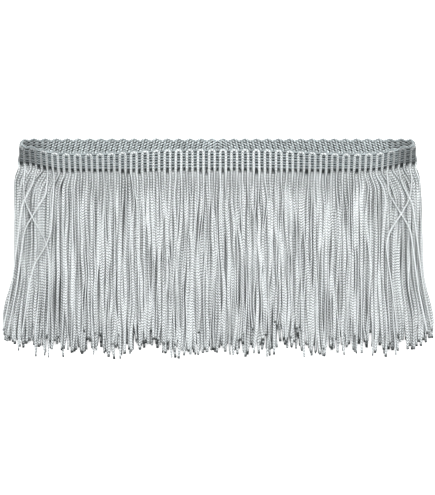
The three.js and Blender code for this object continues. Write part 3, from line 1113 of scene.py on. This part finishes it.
class FRINGE_OT_front(BuildStep):
    """Hang the front layer's strands, with the loops of cord on the tape's face"""

    bl_idname = "fringe.front"
    bl_label = "Front fringe"

    def execute(self, context):
        settings = context.scene.fringe_trim
        cord = Cord(settings)
        finish = cord_finish("front cord", settings.cord_colour, cord.stitch)
        for name, side in FRONT_SIDES.items():
            rng, legs = np.random.default_rng(side["seed"]), side["legs"]
            face = face_cords(FRONT, side["loops"], cord, settings.front_rings, rng)
            mesh_piece(f"front_cords_{name}", [face], finish, "fringe_cord", "fringe_front")
            ends = reverse_cords(FRONT, "reverse", legs, cord, settings.front_rings, rng)
            quarters = np.concatenate([legs - 0.25, legs + 0.25])
            under = reverse_cords(FRONT, "under", quarters, cord, settings.back_rings, rng)
            mesh_piece(f"front_ends_{name}", [ends, under], finish, "fringe_cord", "fringe_front")
        return {"FINISHED"}


class FRINGE_OT_back(BuildStep):
    """Hang the back layer's strands below the front layer"""

    bl_idname = "fringe.back"
    bl_label = "Back fringe"

    def execute(self, context):
        settings = context.scene.fringe_trim
        cord = Cord(settings)
        finish = cord_finish("back cord", settings.cord_colour, cord.stitch)
        rings, rng = settings.back_rings, np.random.default_rng(BACK_SEED)
        loops, legs = np.arange(-HALF, HALF) + 0.5, np.arange(1 - 2 * HALF, 2 * HALF)
        face = face_cords(BACK, loops, cord, rings, rng)
        mesh_piece("back_cords", [face], finish, "fringe_cord", "fringe_back")
        ends = reverse_cords(BACK, "reverse", legs, cord, rings, rng)
        mesh_piece("back_ends", [ends], finish, "fringe_cord", "fringe_back")
        return {"FINISHED"}


FRAME_HEIGHT = 308.1  # what the camera sees of the floor, from top to bottom
CAMERA_Y = 0.4
OBJECT_Z = 4.0
SENSOR = 36.0
# The floor's and the lights' sizes and places are in metres.
FLOOR_SIZE = 6.0
FLOOR_GRAIN = 3.0
FLOOR_DEPTH = 0.1 * MM  # below the trim
KEY_PLACE = (0.05, 0.7, 1.3)
KEY_SIZE = 0.6
SIDE_PLACE = (1.15, 0.15, 0.95)
SIDE_SIZE = 0.45
SKY_COLOUR = (0.97, 0.99, 1.0)


def area_light(name, place, size, power):
    """A square light that looks at the trim."""
    light = bpy.data.lights.new(name, "AREA")
    light.shape, light.size, light.energy = "SQUARE", size, power
    lamp = bpy.data.objects.new(name, light)
    lamp.location = place
    lamp.rotation_euler = Vector(place).to_track_quat("Z", "Y").to_euler()
    bpy.context.scene.collection.objects.link(lamp)


class FRINGE_OT_stage(BuildStep):
    """Set the pale floor, the soft lights and the camera above the trim"""

    bl_idname = "fringe.stage"
    bl_label = "Stage"

    def execute(self, context):
        stage, scene = context.scene.fringe_stage, context.scene
        bpy.ops.mesh.primitive_plane_add(size=FLOOR_SIZE, location=(0, 0, -FLOOR_DEPTH))
        floor = context.object
        floor.name = "floor"
        paint = Paint("floor")
        grain = paint.noise(FLOOR_GRAIN)
        colours = paint.blend(grain, rgba(stage.floor_colour, 0.99), rgba(stage.floor_colour))
        paint.plug(paint.shader.inputs["Emission Color"], colours)
        paint.shader.inputs["Emission Strength"].default_value = stage.floor_glow
        floor.data.materials.append(paint.finish(colours, grain, 0.01 * MM, Roughness=0.9))

        area_light("key", KEY_PLACE, KEY_SIZE, stage.key_power)
        for side in (-1, 1):
            place = (SIDE_PLACE[0] * side, *SIDE_PLACE[1:])
            area_light(f"side_{side}", place, SIDE_SIZE, stage.side_power)
        world = bpy.data.worlds.new("sky")
        world.use_nodes = True
        background = world.node_tree.nodes["Background"]
        background.inputs["Color"].default_value = rgba(SKY_COLOUR)
        background.inputs["Strength"].default_value = stage.sky
        scene.world = world
        scene.view_settings.view_transform = "Standard"

        camera = bpy.data.objects.new("camera", bpy.data.cameras.new("camera"))
        camera.data.lens = stage.lens
        camera.data.sensor_width = SENSOR
        distance = stage.lens / SENSOR * FRAME_HEIGHT + OBJECT_Z
        camera.location = (0, CAMERA_Y * MM, distance * MM)
        scene.collection.objects.link(camera)
        scene.camera = camera
        return {"FINISHED"}


class FRINGE_PT_trim(bpy.types.Panel):
    """The trim's sizes, colours and building steps"""

    bl_label = "Fringe Trim"
    bl_space_type = "VIEW_3D"
    bl_region_type = "UI"
    bl_category = "Fringe Trim"

    def draw(self, context):
        for settings in (context.scene.fringe_trim, context.scene.fringe_stage):
            for name in settings.bl_rna.properties.keys():
                if name not in ("rna_type", "name"):
                    self.layout.prop(settings, name)
        for step in STEPS:
            self.layout.operator(step.bl_idname)


STEPS = (FRINGE_OT_tape, FRINGE_OT_front, FRINGE_OT_back, FRINGE_OT_stage)
CLASSES = (TrimSettings, StageSettings, *STEPS, FRINGE_PT_trim)


def register():
    for cls in CLASSES:
        bpy.utils.register_class(cls)
    bpy.types.Scene.fringe_trim = PointerProperty(type=TrimSettings)
    bpy.types.Scene.fringe_stage = PointerProperty(type=StageSettings)


def unregister():
    del bpy.types.Scene.fringe_stage
    del bpy.types.Scene.fringe_trim
    for cls in reversed(CLASSES):
        bpy.utils.unregister_class(cls)


def main():
    register()
    bpy.ops.fringe.tape()
    bpy.ops.fringe.front()
    bpy.ops.fringe.back()
    bpy.ops.fringe.stage()


if __name__ == "__main__":
    main()
